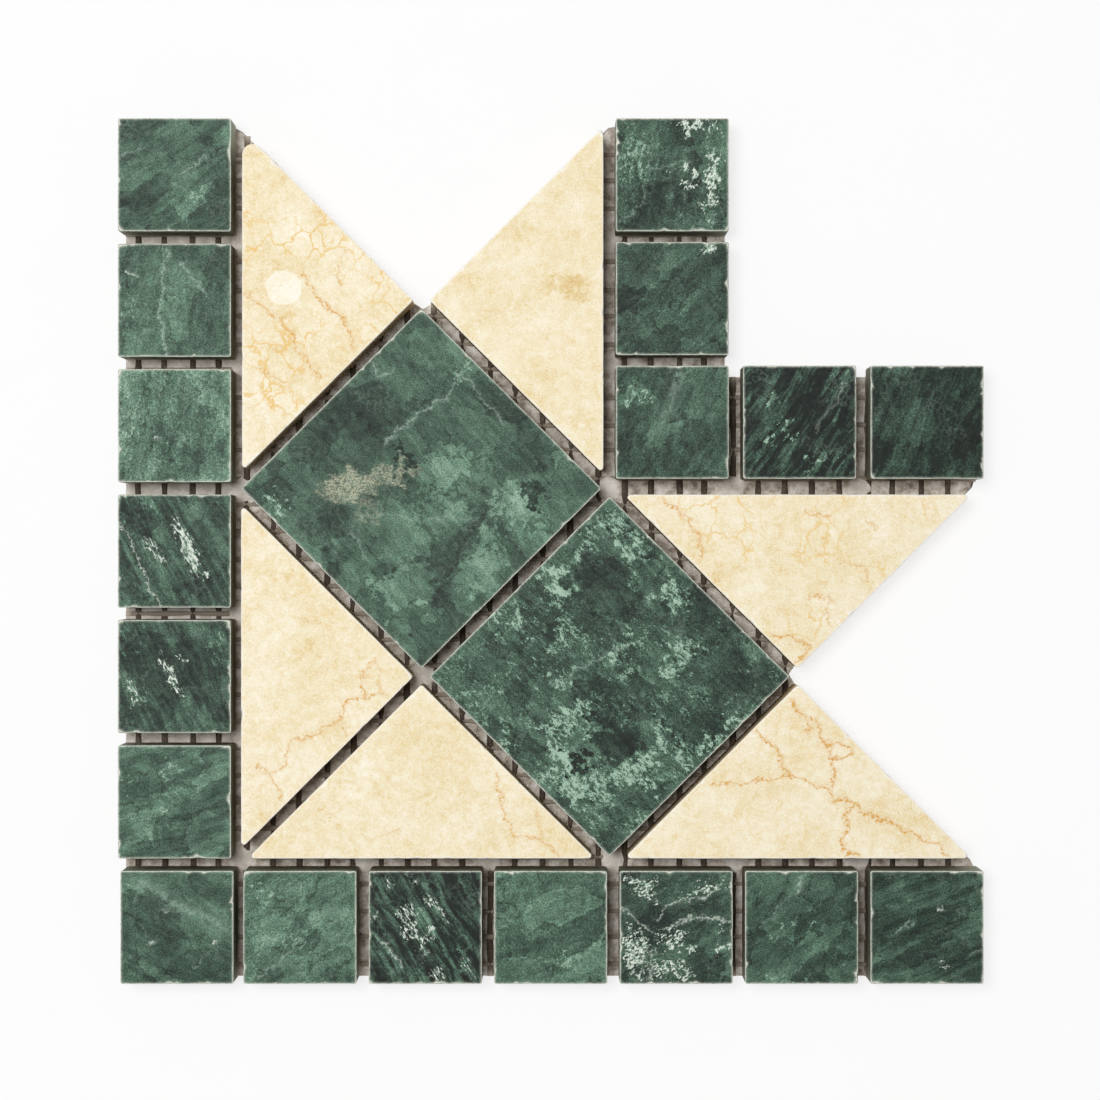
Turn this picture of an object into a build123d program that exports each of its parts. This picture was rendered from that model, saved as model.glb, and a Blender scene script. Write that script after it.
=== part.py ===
"""Corner piece of a marble mosaic border: green squares and diamonds, cream triangles, on a mesh back.

Millimetres, +Z up, face side up. The origin is the middle of the footprint, on the underside of the mesh.
The piece is the outer corner at the lower left, with one arm running up and one running right.
"""

import os
from math import ceil, sqrt

from build123d import *

os.makedirs("parts", exist_ok=True)

# Stone and joint sizes
SQUARE = 23.0  # side of a small square
JOINT = 2.4  # straight joint between stones
SLANT_JOINT = 2.2  # joint between slanting edges
STONE = 9.5  # thickness of every stone
ARRIS = 0.4  # eased edge round each face
TIP_CUT = 0.9  # blunted corners of the triangles, measured along the edges

# The stones are laid by hand, so some sit a little off the even lattice
CORNER_RIGHT = 0.5  # the square at the outer corner, to the right
BAND_LEFT = 0.8  # the diamonds, the triangles and the inner column of squares, to the left
INNER_UP = 0.7  # the inner row of squares, up

# Pattern counts, in squares
ARM = 7  # squares along each outer side
BAND = 3  # squares that one triangle's long side spans

# Mesh sizes
MESH_THICK = 0.5  # thickness of the mesh
MESH_STEP = 6.35  # spacing of the strands
STRAND = 1.5  # width of a strand

# Values that follow from those above
MODULE = SQUARE + JOINT
SIDE = ARM * MODULE - JOINT
HALF = SIDE / 2
SLANT_BACK = SLANT_JOINT / sqrt(2)  # how far a slanting joint sets a pointed corner back
DIAMOND_REACH = BAND * MODULE / 2 - SLANT_BACK  # diamond's middle to its corner
TRIANGLE_REACH = DIAMOND_REACH - JOINT / 2  # triangle's height, and half of its long side


def line(k):
    """Middle of the k-th joint counted from the outer corner. Half steps are middles of squares' rows."""
    return k * MODULE - JOINT / 2 - HALF


def middle(k):
    """Middle of the k-th row or column of squares, from 0."""
    return line(k) + MODULE / 2


def keep(piece, name):
    """Names a finished piece and writes it."""
    piece.part.label = name
    export_step(piece.part, f"parts/{name}.step")


# Small green squares: name, column and row, from the outer corner
INNER = BAND + 1
squares = [("inner_corner_square", INNER, INNER)]
for n in range(ARM):
    squares.append((f"bottom_square_{n + 1}", n, 0))
for n in range(1, ARM):
    squares.append((f"left_square_{n}", 0, n))
for n in range(INNER + 1, ARM):
    squares.append((f"inner_right_square_{n - INNER}", n, INNER))
    squares.append((f"inner_top_square_{n - INNER}", INNER, n))

laid_off = {
    "bottom_square_1": (CORNER_RIGHT, 0),
    "inner_corner_square": (-BAND_LEFT, INNER_UP),
    "inner_top_square_1": (-BAND_LEFT, INNER_UP / 2),
    "inner_top_square_2": (-BAND_LEFT, 0),
    "inner_right_square_1": (-BAND_LEFT / 2, INNER_UP),
    "inner_right_square_2": (0, INNER_UP),
}
for name, column, row in squares:
    right, up = laid_off.get(name, (0, 0))
    with BuildPart() as square:
        with BuildSketch(Plane.XY.offset(MESH_THICK)):
            with Locations((middle(column) + right, middle(row) + up)):
                Rectangle(SQUARE, SQUARE)
        extrude(amount=STONE)
        chamfer(square.faces().sort_by(Axis.Z)[-1].edges(), ARRIS)
    keep(square, name)

# Large green squares set on their corners, one in each arm
NEAR = 1 + BAND / 2  # middle of the band of triangles and diamonds, in modules
diamonds = [
    ("green_diamond_upper", line(NEAR), line(1 + BAND)),
    ("green_diamond_lower", line(1 + BAND), line(NEAR)),
]
for name, x, y in diamonds:
    with BuildPart() as diamond:
        with BuildSketch(Plane.XY.offset(MESH_THICK)):
            with Locations((x - BAND_LEFT, y)):
                Rectangle(DIAMOND_REACH * sqrt(2), DIAMOND_REACH * sqrt(2), rotation=45)
        extrude(amount=STONE)
        chamfer(diamond.faces().sort_by(Axis.Z)[-1].edges(), ARRIS)
    keep(diamond, name)

# Cream triangles: name, middle of the long side, and the way the right-angled corner points in degrees
LOW = line(1) + JOINT / 2
HIGH = line(1 + BAND) - JOINT / 2
FAR = NEAR + BAND  # middle of the band's next repeat
triangles = [
    ("cream_triangle_left_lower", LOW, line(NEAR), 0),
    ("cream_triangle_left_upper", LOW, line(FAR), 0),
    ("cream_triangle_top_inner", HIGH, line(FAR), 180),
    ("cream_triangle_bottom_left", line(NEAR), LOW, 90),
    ("cream_triangle_bottom_right", line(FAR), LOW, 90),
    ("cream_triangle_right_inner", line(FAR), HIGH, 270),
]
for name, x, y, turn in triangles:
    with BuildPart() as triangle:
        with BuildSketch(Plane((x - BAND_LEFT, y, MESH_THICK)).rotated((0, 0, turn))) as face:
            with BuildLine():
                Polyline(
                    (0, -TRIANGLE_REACH),
                    (TRIANGLE_REACH, 0),
                    (0, TRIANGLE_REACH),
                    close=True,
                )
            make_face()
            chamfer(face.vertices(), TIP_CUT)
        extrude(amount=STONE)
        chamfer(triangle.faces().sort_by(Axis.Z)[-1].edges(), ARRIS)
    keep(triangle, name)

# The mesh, cut flush with the stones. Each arm ends in a notch that takes the next strip's diamond.
MID = line(NEAR)
INSIDE = line(2 + BAND) - JOINT / 2 - BAND_LEFT
NOTCH_TIP = line(1 + BAND) + DIAMOND_REACH
OPENING = MESH_STEP - STRAND


def arm_outlines(mid, tip):
    """The outer and inner half of an arm's sheet, as points across and along it, by the tip of its notch."""
    half = HALF - tip  # half of the notch's width at the arm's end
    outer = [(-HALF, INSIDE), (mid, INSIDE), (mid, tip), (mid - half, HALF), (-HALF, HALF)]
    inner = [(mid, INSIDE), (INSIDE, INSIDE), (INSIDE, HALF), (mid + half, HALF), (mid, tip)]
    return outer, inner


top_outer, top_inner = arm_outlines(MID - BAND_LEFT, NOTCH_TIP)
right_outer, right_inner = arm_outlines(MID, NOTCH_TIP - BAND_LEFT)
meshes = [
    ("mesh_corner", [(-HALF, -HALF), (INSIDE, -HALF), (INSIDE, INSIDE), (-HALF, INSIDE)]),
    ("mesh_top_outer", top_outer),
    ("mesh_top_inner", top_inner),
    ("mesh_right_outer", [(x, y) for y, x in right_outer]),
    ("mesh_right_inner", [(x, y) for y, x in right_inner]),
]
for name, outline in meshes:
    xs = [x for x, y in outline]
    ys = [y for x, y in outline]
    # Openings are counted from the first joint line, so that joints run over rows of openings.
    first = [ceil((low - line(0)) / MESH_STEP - 0.5) for low in (min(xs), min(ys))]
    last = [ceil((high - line(0)) / MESH_STEP + 0.5) for high in (max(xs), max(ys))]
    openings = [
        (line(0) + i * MESH_STEP, line(0) + j * MESH_STEP)
        for i in range(first[0], last[0])
        for j in range(first[1], last[1])
    ]
    with BuildPart() as mesh:
        with BuildSketch():
            with BuildLine():
                Polyline(*outline, close=True)
            make_face()
            with Locations(*openings):
                Rectangle(OPENING, OPENING, mode=Mode.SUBTRACT)
        extrude(amount=MESH_THICK)
    keep(mesh, name)
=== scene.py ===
"""Looks of the marble mosaic border corner: honed green and cream stones on a woven backing net."""

import math
import random

import bpy
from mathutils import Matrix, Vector, noise


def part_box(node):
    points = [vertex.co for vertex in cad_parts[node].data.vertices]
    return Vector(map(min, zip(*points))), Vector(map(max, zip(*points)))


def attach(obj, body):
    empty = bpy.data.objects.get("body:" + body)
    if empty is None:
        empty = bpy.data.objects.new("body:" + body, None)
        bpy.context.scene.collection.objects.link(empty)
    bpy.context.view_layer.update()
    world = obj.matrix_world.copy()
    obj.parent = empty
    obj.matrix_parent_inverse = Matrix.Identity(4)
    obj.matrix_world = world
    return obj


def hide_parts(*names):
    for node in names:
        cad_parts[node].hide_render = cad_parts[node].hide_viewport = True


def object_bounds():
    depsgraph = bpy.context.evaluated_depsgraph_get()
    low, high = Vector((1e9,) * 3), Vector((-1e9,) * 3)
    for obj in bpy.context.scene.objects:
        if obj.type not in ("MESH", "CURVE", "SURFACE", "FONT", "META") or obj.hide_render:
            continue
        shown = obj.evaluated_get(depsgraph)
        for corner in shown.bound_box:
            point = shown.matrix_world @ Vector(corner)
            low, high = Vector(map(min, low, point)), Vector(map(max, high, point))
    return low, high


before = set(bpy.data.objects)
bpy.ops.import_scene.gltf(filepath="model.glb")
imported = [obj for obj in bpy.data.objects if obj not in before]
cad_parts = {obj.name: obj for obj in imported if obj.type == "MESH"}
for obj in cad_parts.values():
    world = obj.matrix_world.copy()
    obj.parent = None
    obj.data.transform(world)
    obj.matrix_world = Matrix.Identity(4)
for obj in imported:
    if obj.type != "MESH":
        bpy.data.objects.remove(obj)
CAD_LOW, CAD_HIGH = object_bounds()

MM = 0.001
FACE = CAD_HIGH.z / MM  # height of the stones' faces, in mm
HALF = CAD_HIGH.x / MM  # half of the tile's width, in mm
RNG = random.Random(7)


# Materials


def srgb(red, green, blue):
    """A colour as seen on a screen, 0 to 255, turned into Blender's linear values."""
    linear = []
    for value in (red, green, blue):
        c = value / 255
        linear.append(c / 12.92 if c <= 0.04045 else ((c + 0.055) / 1.055) ** 2.4)
    return (*linear, 1.0)


class Nodes:
    """Short ways to add nodes to one tree. A value is a number, a tuple or another node's output."""

    def __init__(self, tree):
        self.tree = tree

    def put(self, socket, value):
        if isinstance(value, bpy.types.NodeSocket):
            self.tree.links.new(value, socket)
        else:
            socket.default_value = value

    def add(self, kind, inputs, **settings):
        node = self.tree.nodes.new("ShaderNode" + kind)
        for name, value in settings.items():
            setattr(node, name, value)
        for key, value in inputs.items():
            self.put(node.inputs[key], value)
        return node

    def math(self, operation, a, b=0.0, clamp=False):
        return self.add("Math", {0: a, 1: b}, operation=operation, use_clamp=clamp).outputs[0]

    def plus(self, a, b):
        return self.math("ADD", a, b)

    def minus(self, a, b, clamp=False):
        return self.math("SUBTRACT", a, b, clamp)

    def times(self, a, b, clamp=False):
        return self.math("MULTIPLY", a, b, clamp)

    def most(self, a, b, clamp=False):
        return self.math("MAXIMUM", a, b, clamp)

    def swing(self, tone, value, amount):
        """The tone, moved up and down with a value that runs around a half."""
        return self.plus(tone, self.times(self.minus(value, 0.5), amount))

    def vector(self, operation, a, b=(0, 0, 0)):
        node = self.add("VectorMath", {0: a, 1: b}, operation=operation)
        scalar = operation in ("LENGTH", "DISTANCE", "DOT_PRODUCT")
        return node.outputs["Value" if scalar else "Vector"]

    def scaled(self, vector, amount):
        node = self.add("VectorMath", {0: vector, "Scale": amount}, operation="SCALE")
        return node.outputs["Vector"]

    def turned(self, vector, angle):
        node = self.add("VectorRotate", {"Vector": vector, "Angle": angle}, rotation_type="Z_AXIS")
        return node.outputs[0]

    def place(self):
        """The shaded point, in mm from the object's origin."""
        return self.scaled(self.add("TexCoord", {}).outputs["Object"], 1 / MM)

    def attribute(self, name):
        return self.add("Attribute", {}, attribute_name=name).outputs["Fac"]

    def noise(self, point, scale, detail=3.0, rough=0.55, output="Fac"):
        inputs = {"Vector": point, "Scale": scale, "Detail": detail, "Roughness": rough}
        return self.add("TexNoise", inputs).outputs[output]

    def wobble(self, point, scale, amount, detail=3.0):
        """A small shift that bends lines and patches the way natural ones run."""
        colour = self.noise(point, scale, detail, output="Color")
        return self.scaled(self.vector("SUBTRACT", colour, (0.5, 0.5, 0.5)), amount)

    def cell_tone(self, point, scale, channel):
        """One tone for each cell of a broken-up stone."""
        cells = self.add("TexVoronoi", {"Vector": point, "Scale": scale})
        return self.add("SeparateColor", {0: cells.outputs["Color"]}).outputs[channel]

    def cell_side(self, point, scale):
        """Distance to the nearest side of such a cell."""
        inputs = {"Vector": point, "Scale": scale}
        return self.add("TexVoronoi", inputs, feature="DISTANCE_TO_EDGE").outputs["Distance"]

    def smooth(self, value, low, high, start=0.0, end=1.0):
        """Runs from start to end while the value goes from low to high."""
        inputs = {"Value": value, "From Min": low, "From Max": high, "To Min": start, "To Max": end}
        return self.add("MapRange", inputs, interpolation_type="SMOOTHSTEP").outputs[0]

    def mix(self, share, a, b):
        return self.add("Mix", {0: share, 6: a, 7: b}, data_type="RGBA").outputs[2]

    def ramp(self, value, stops):
        node = self.add("ValToRGB", {"Fac": value})
        elements = node.color_ramp.elements
        for place, colour in stops[1:-1]:
            elements.new(place).color = colour
        elements[0].position, elements[0].color = stops[0]
        elements[-1].position, elements[-1].color = stops[-1]
        return node.outputs["Color"]

    def group(self, tree, inputs):
        return self.add("Group", inputs, node_tree=tree).outputs[0]

    def output(self, shader):
        self.add("OutputMaterial", {"Surface": shader.outputs[0]})

    def surface(self, colour, rough, height, strength, depth, specular):
        """The end of a material: one shader with a bump of the given depth, in mm."""
        bump = self.add("Bump", {"Height": height, "Strength": strength, "Distance": depth * MM})
        inputs = {"Base Color": colour, "Roughness": rough, "Normal": bump.outputs[0]}
        self.output(self.add("BsdfPrincipled", {**inputs, "Specular IOR Level": specular}))


def new_material(name):
    """An empty material and its nodes."""
    material = bpy.data.materials.new(name)
    material.use_nodes = True
    material.node_tree.nodes.clear()
    return material, Nodes(material.node_tree)


def new_group(name, vectors, numbers, output):
    """An empty node group with the named inputs, and the ends to build between."""
    tree = bpy.data.node_groups.new(name, "ShaderNodeTree")
    for kind, labels in (("NodeSocketVector", vectors), ("NodeSocketFloat", numbers)):
        for label in labels:
            tree.interface.new_socket(label, in_out="INPUT", socket_type=kind)
    tree.interface.new_socket(output, in_out="OUTPUT", socket_type="NodeSocketFloat")
    start = tree.nodes.new("NodeGroupInput")
    end = tree.nodes.new("NodeGroupOutput")
    return Nodes(tree), start.outputs, end.inputs[0]


def make_segment_group():
    """Distance from a point to a straight piece of vein."""
    nodes, given, result = new_group("vein_segment", ("Point", "Start", "End"), (), "Distance")
    reach = nodes.vector("SUBTRACT", given["Point"], given["Start"])
    whole = nodes.vector("SUBTRACT", given["End"], given["Start"])
    along = nodes.vector("DOT_PRODUCT", reach, whole)
    share = nodes.math("DIVIDE", along, nodes.vector("DOT_PRODUCT", whole, whole), clamp=True)
    nodes.put(result, nodes.vector("DISTANCE", reach, nodes.scaled(whole, share)))
    return nodes.tree


def make_patch_group():
    """Share of an oval patch at a point: 1 in its core, 0 at its rim, both given in parts of its size."""
    vectors = ("Point", "Centre", "Size")
    nodes, given, result = new_group("stone_patch", vectors, ("Turn", "Core", "Rim"), "Share")
    reach = nodes.vector("SUBTRACT", given["Point"], given["Centre"])
    turned = nodes.turned(reach, nodes.times(given["Turn"], -1.0))
    far = nodes.vector("LENGTH", nodes.vector("DIVIDE", turned, given["Size"]))
    nodes.put(result, nodes.smooth(far, given["Core"], given["Rim"], 1.0, 0.0))
    return nodes.tree


def make_green_group():
    """Tone of the green marble: drifting clouds, broken shards, streaks along one way, felt-like grain."""
    numbers = ("Turn", "Cloud", "Shard", "Streak", "Grain")
    nodes, given, result = new_group("green_tone", ("Point",), numbers, "Tone")
    point = given["Point"]
    back = nodes.times(given["Turn"], -1.0)
    drift = nodes.wobble(point, 0.16, 9.0, detail=4.0)
    bent = nodes.vector("ADD", point, drift)
    swayed = nodes.vector("ADD", point, nodes.wobble(point, 0.06, 5.0, detail=1.0))
    laid = nodes.vector("MULTIPLY", nodes.turned(swayed, back), (0.13, 1.0, 0.5))

    # Large shards with small chips in them, split apart in some places
    broken = nodes.vector("MULTIPLY", nodes.turned(bent, back), (0.6, 1, 1))
    chipped = nodes.vector("ADD", point, nodes.scaled(drift, 5 / 9))
    shard = nodes.times(nodes.cell_tone(broken, 0.17, 0), 0.7)
    shard = nodes.plus(shard, nodes.times(nodes.cell_tone(chipped, 0.4, 1), 0.3))
    open_here = nodes.smooth(nodes.noise(point, 0.2), 0.45, 0.6)
    split = nodes.smooth(nodes.cell_side(broken, 0.17), 0.0, 0.035, 0.55, 0.0)
    parts = {
        "Cloud": nodes.smooth(nodes.noise(bent, 0.13, 5.0, 0.62), 0.3, 0.7),
        "Shard": nodes.minus(shard, nodes.times(split, open_here)),
        "Streak": nodes.smooth(nodes.noise(laid, 0.75, 6.0, 0.68), 0.36, 0.64),
        "Grain": nodes.smooth(nodes.noise(point, 3.6, 3.0, 0.8), 0.3, 0.7),
    }
    tone = 0.5
    for label, value in parts.items():
        tone = nodes.swing(tone, value, given[label])
    nodes.put(result, tone)
    return nodes.tree


SEGMENT = make_segment_group()
PATCH = make_patch_group()
GREEN_TONE = make_green_group()

GREEN_STOPS = [
    (0.0, srgb(8, 19, 13)),
    (0.25, srgb(38, 59, 47)),
    (0.5, srgb(74, 101, 84)),
    (0.72, srgb(106, 142, 119)),
    (1.0, srgb(166, 194, 173)),
]
CREAM_STOPS = [
    (0.0, srgb(214, 176, 108)),
    (0.3, srgb(232, 210, 160)),
    (0.5, srgb(240, 226, 190)),
    (0.75, srgb(247, 238, 214)),
    (1.0, srgb(252, 247, 234)),
]
PALE_VEIN = srgb(164, 188, 171)
WHITE_SPECK = srgb(220, 230, 216)
CRACK = srgb(24, 31, 27)
CRUST = srgb(178, 180, 154)
GOLD_VEIN = srgb(218, 160, 66)
GOLD_WEB = srgb(234, 194, 112)
BROWN_SPECK = srgb(150, 120, 66)
# Arris colours: the paler colour of worn, bruised edges, made paler still as a painted highlight along
# every edge
GREEN_ARRIS_WEAR_AND_HIGHLIGHT = srgb(232, 235, 220)
CREAM_ARRIS_WEAR_AND_HIGHLIGHT = srgb(255, 253, 246)
GREEN_WALL = srgb(168, 166, 148)
CREAM_WALL = srgb(236, 204, 158)
GLUE = srgb(210, 200, 186)

WIDE_SPECKS = 1.7  # clusters of specks of at least this half width, in mm, have torn rims
PALE_TINT = 0.45  # how much of a pale patch's strength goes into its tone
PATCH_FLECKS = 2.6  # and how much into its flecks
GOLD_STRENGTH = 1.5  # golden veins and webs are laid on this much stronger than given


class Stone:
    """Builds one stone's material: a base tone, listed features, a worn arris made paler as a painted
    highlight, sawn walls, a glued back and glue up the walls that is partly painted light.
    """

    def __init__(self, name, centre, seed):
        self.material, self.nodes = new_material(name)
        nodes = self.nodes
        self.point = nodes.vector("SUBTRACT", nodes.place(), (*centre, 0))
        self.seeded = nodes.vector("ADD", self.point, (seed * 71.3, seed * 37.9, seed * 13.1))
        self.height = nodes.add("SeparateXYZ", {0: self.point}).outputs["Z"]

        # Points to lay features on: hardly bent, bent as veins run, and torn as patches are
        sway = self.wobble(0.4, 4.0)
        self.even = self.moved(self.point, nodes.scaled(sway, 0.3))
        self.drawn = self.moved(self.point, sway, self.wobble(1.6, 1.4))
        self.torn = self.moved(self.drawn, self.wobble(0.3, 12.0), self.wobble(0.9, 7.0))

    def grain(self, scale, detail=3.0, rough=0.55):
        return self.nodes.noise(self.seeded, scale, detail, rough)

    def wobble(self, scale, amount):
        return self.nodes.wobble(self.seeded, scale, amount)

    def moved(self, point, *shifts):
        """The point with the shifts added, in the plane of the face."""
        for shift in shifts:
            point = self.nodes.vector("ADD", point, shift)
        return self.nodes.vector("MULTIPLY", point, (1, 1, 0))

    def hairline(self, scale, width, aside):
        """Fine natural threads: where a drifting field crosses its middle value, in some places only."""
        nodes = self.nodes
        moved = nodes.vector("ADD", self.seeded, (aside, aside, 0))
        off = nodes.math("ABSOLUTE", nodes.minus(nodes.noise(moved, scale, 5.0, 0.6), 0.5))
        here = nodes.smooth(nodes.noise(moved, 0.12, 2.0), 0.45, 0.65)
        return nodes.times(nodes.smooth(off, 0.0, width, 1.0, 0.0), here)

    def vein(self, width, strength, points):
        """Cover of one vein along its points: a thin core in a faint halo."""
        nodes = self.nodes
        nearest = None
        for start, end in zip(points, points[1:]):
            far = nodes.group(SEGMENT, {"Point": self.drawn, "Start": (*start, 0), "End": (*end, 0)})
            nearest = far if nearest is None else nodes.math("MINIMUM", nearest, far)
        core = nodes.smooth(nearest, 0.1 * width, 0.55 * width, 1.0, 0.0)
        halo = nodes.smooth(nearest, 0.3 * width, 1.6 * width, 0.3, 0.0)
        return nodes.times(nodes.most(core, halo), strength)

    def veins(self, rows):
        """The strongest cover of several veins, broken up along their length."""
        if not rows:
            return 0.0
        cover = 0.0
        for row in rows:
            cover = self.nodes.most(cover, self.vein(*row))
        return self.nodes.times(cover, self.nodes.smooth(self.grain(1.6, 4.0, 0.7), 0.36, 0.58, 0.15, 1.0))

    def patch(self, x, y, length, width, turn, core=0.35, rim=1.25, laid=None):
        """Share of an oval patch: torn, unless it is laid on one of the less bent points."""
        place = {"Point": laid or self.torn, "Centre": (x, y, 0), "Size": (length, width, 1)}
        return self.nodes.group(PATCH, {**place, "Turn": math.radians(turn), "Core": core, "Rim": rim})

    def finish(self, colour, arris_wear_and_highlight, wall_colour):
        """Adds what every stone has: a worn arris made paler as a painted highlight, sawn walls, glue on
        the back and up the walls (carried up the walls as painted light), roughness and bump.
        """
        nodes = self.nodes
        # The arris takes the pale colour, partly wear and partly a painted highlight, broken up by a noise
        scuff_and_highlight = nodes.smooth(self.grain(1.9, 4.0, 0.7), 0.3, 0.6, 0.55, 1.0)
        colour = nodes.mix(nodes.times(nodes.attribute("arris"), scuff_and_highlight), colour, arris_wear_and_highlight)

        wall = nodes.smooth(self.height, FACE - 2.2, FACE - 0.5, 1.0, 0.0)
        saw = nodes.noise(nodes.vector("MULTIPLY", self.seeded, (0.25, 0.25, 3.0)), 0.8)
        dust = nodes.times(self.grain(0.35, 4.0, 0.65), 0.35)
        dusty = nodes.plus(nodes.smooth(saw, 0.3, 0.7, 0.35, 0.75), dust)
        colour = nodes.mix(wall, colour, nodes.mix(dusty, colour, wall_colour))

        # Pale glue up the walls: real glue near the back, carried several mm higher as painted light that
        # brightens the walls in the joints
        ragged = nodes.times(self.grain(0.5, 4.0, 0.65), 6.5)
        smear_and_painted_light = nodes.smooth(nodes.minus(self.height, ragged), -3.0, 0.8, 0.9, 0.0)
        back = nodes.smooth(self.height, 0.52, 0.62, 1.0, 0.0)
        bare = nodes.smooth(self.grain(0.22, 4.0, 0.6), 0.4, 0.6, 0.15, 0.95)
        glued = nodes.most(smear_and_painted_light, nodes.times(back, bare))
        mottled = nodes.smooth(self.grain(1.3, 4.0, 0.7), 0.35, 0.65, 0.55, 0.95)
        colour = nodes.mix(nodes.times(glued, mottled), colour, GLUE)

        rough = nodes.smooth(self.grain(0.9, 4.0, 0.7), 0.3, 0.7, 0.5, 0.64)
        rough = nodes.most(rough, nodes.times(wall, 0.85))
        nodes.surface(colour, rough, self.grain(2.6, 3.0, 0.75), strength=0.35, depth=0.04, specular=0.25)
        return self.material


def green_marble(name, centre, seed, look):
    """Material of one green stone. The look's features are in mm from the stone's middle."""
    stone = Stone(name, centre, seed)
    nodes = stone.nodes
    turn = math.radians(look.get("turn", 30))
    base = {"Point": stone.seeded, "Turn": turn}
    for label, usual in (("Cloud", 0.2), ("Shard", 0.36), ("Streak", 0.133), ("Grain", 0.46)):
        base[label] = look.get(label.lower(), usual)
    tone = nodes.plus(nodes.group(GREEN_TONE, base), look.get("tone", 0.0) - 0.11)

    # Pale patches are a little lighter all over and full of flecks, dark patches and plates are plain
    drift = nodes.minus(stone.grain(0.3, 3.0, 0.6), 0.5)
    flecked = nodes.plus(look.get("flecked", 0.1), nodes.times(drift, look.get("breccia", 0.5)))
    for *place, strength in look.get("patches", []):
        share = stone.patch(*place)
        tint = strength * (PALE_TINT if strength > 0 else 1.0)
        tone = nodes.plus(tone, nodes.times(share, tint))
        flecked = nodes.plus(flecked, nodes.times(share, strength * PATCH_FLECKS))
    for *place, strength in look.get("plates", []):
        share = stone.patch(*place, core=0.86, rim=1.02)
        tone = nodes.plus(tone, nodes.times(share, strength))
        flecked = nodes.times(flecked, nodes.minus(1.0, nodes.times(share, 0.8)))
    whitened = 0.0
    for *place, strength in look.get("specks", []):
        half_width = place[3]
        share = stone.patch(*place, laid=stone.drawn if half_width < WIDE_SPECKS else stone.torn)
        whitened = nodes.most(whitened, nodes.times(share, strength))
    flecked = nodes.most(flecked, whitened, clamp=True)

    # Flakes and a fine lattice in the flecked places, white grains in the whitened ones
    laid = nodes.vector("MULTIPLY", nodes.turned(stone.seeded, -turn), (look.get("stretch", 0.4), 1.0, 1.0))
    bar = nodes.minus(0.64, nodes.times(flecked, 0.17))
    cover = nodes.smooth(nodes.minus(nodes.noise(laid, 1.6, 5.0, 0.78), bar), -0.012, 0.045)
    pearl = nodes.smooth(stone.grain(3.4, 3.0, 0.7), 0.35, 0.65, 0.35, 1.0)
    cover = nodes.times(cover, pearl)
    sides = nodes.cell_side(nodes.vector("ADD", stone.seeded, stone.wobble(0.5, 8.0)), 0.42)
    web = nodes.times(nodes.smooth(sides, 0.02, 0.1, 0.5, 0.0), pearl)
    lift = nodes.times(cover, nodes.plus(0.12, nodes.times(flecked, 0.6)))
    lift = nodes.plus(lift, nodes.times(web, flecked))
    bare = nodes.times(nodes.minus(1.0, cover), nodes.times(flecked, 0.12))
    colour = nodes.ramp(nodes.plus(tone, nodes.minus(lift, bare)), GREEN_STOPS)
    grains = nodes.noise(nodes.vector("MULTIPLY", laid, (1.6, 1.0, 1.0)), 2.4, 4.0, 0.75)
    bar = nodes.minus(0.63, nodes.times(whitened, 0.16))
    dots = nodes.smooth(nodes.minus(grains, bar), -0.01, 0.04)
    colour = nodes.mix(nodes.times(dots, nodes.smooth(whitened, 0.05, 0.5)), colour, WHITE_SPECK)

    # Hairlines everywhere: scale, width, place in the field, strength, colour
    hairlines = (
        (0.22, 0.03, 0.0, 0.14, PALE_VEIN),
        (0.17, 0.022, 40.0, 0.3, CRACK),
        (0.4, 0.03, 80.0, 0.2, CRACK),
    )
    for scale, width, aside, strength, tint in hairlines:
        colour = nodes.mix(nodes.times(stone.hairline(scale, width, aside), strength), colour, tint)

    colour = nodes.mix(stone.veins(look.get("pale", [])), colour, PALE_VEIN)
    crust = 0.0
    for *place, strength in look.get("crusts", []):
        crust = nodes.most(crust, nodes.times(stone.patch(*place), strength))
    grit = nodes.smooth(stone.grain(3.0, 4.0, 0.7), 0.43, 0.55, 0.12, 0.95)
    colour = nodes.mix(nodes.times(crust, grit), colour, CRUST)
    colour = nodes.mix(stone.veins(look.get("white", [])), colour, WHITE_SPECK)
    colour = nodes.mix(stone.veins(look.get("cracks", [])), colour, CRACK)
    return stone.finish(colour, GREEN_ARRIS_WEAR_AND_HIGHLIGHT, GREEN_WALL)


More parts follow.
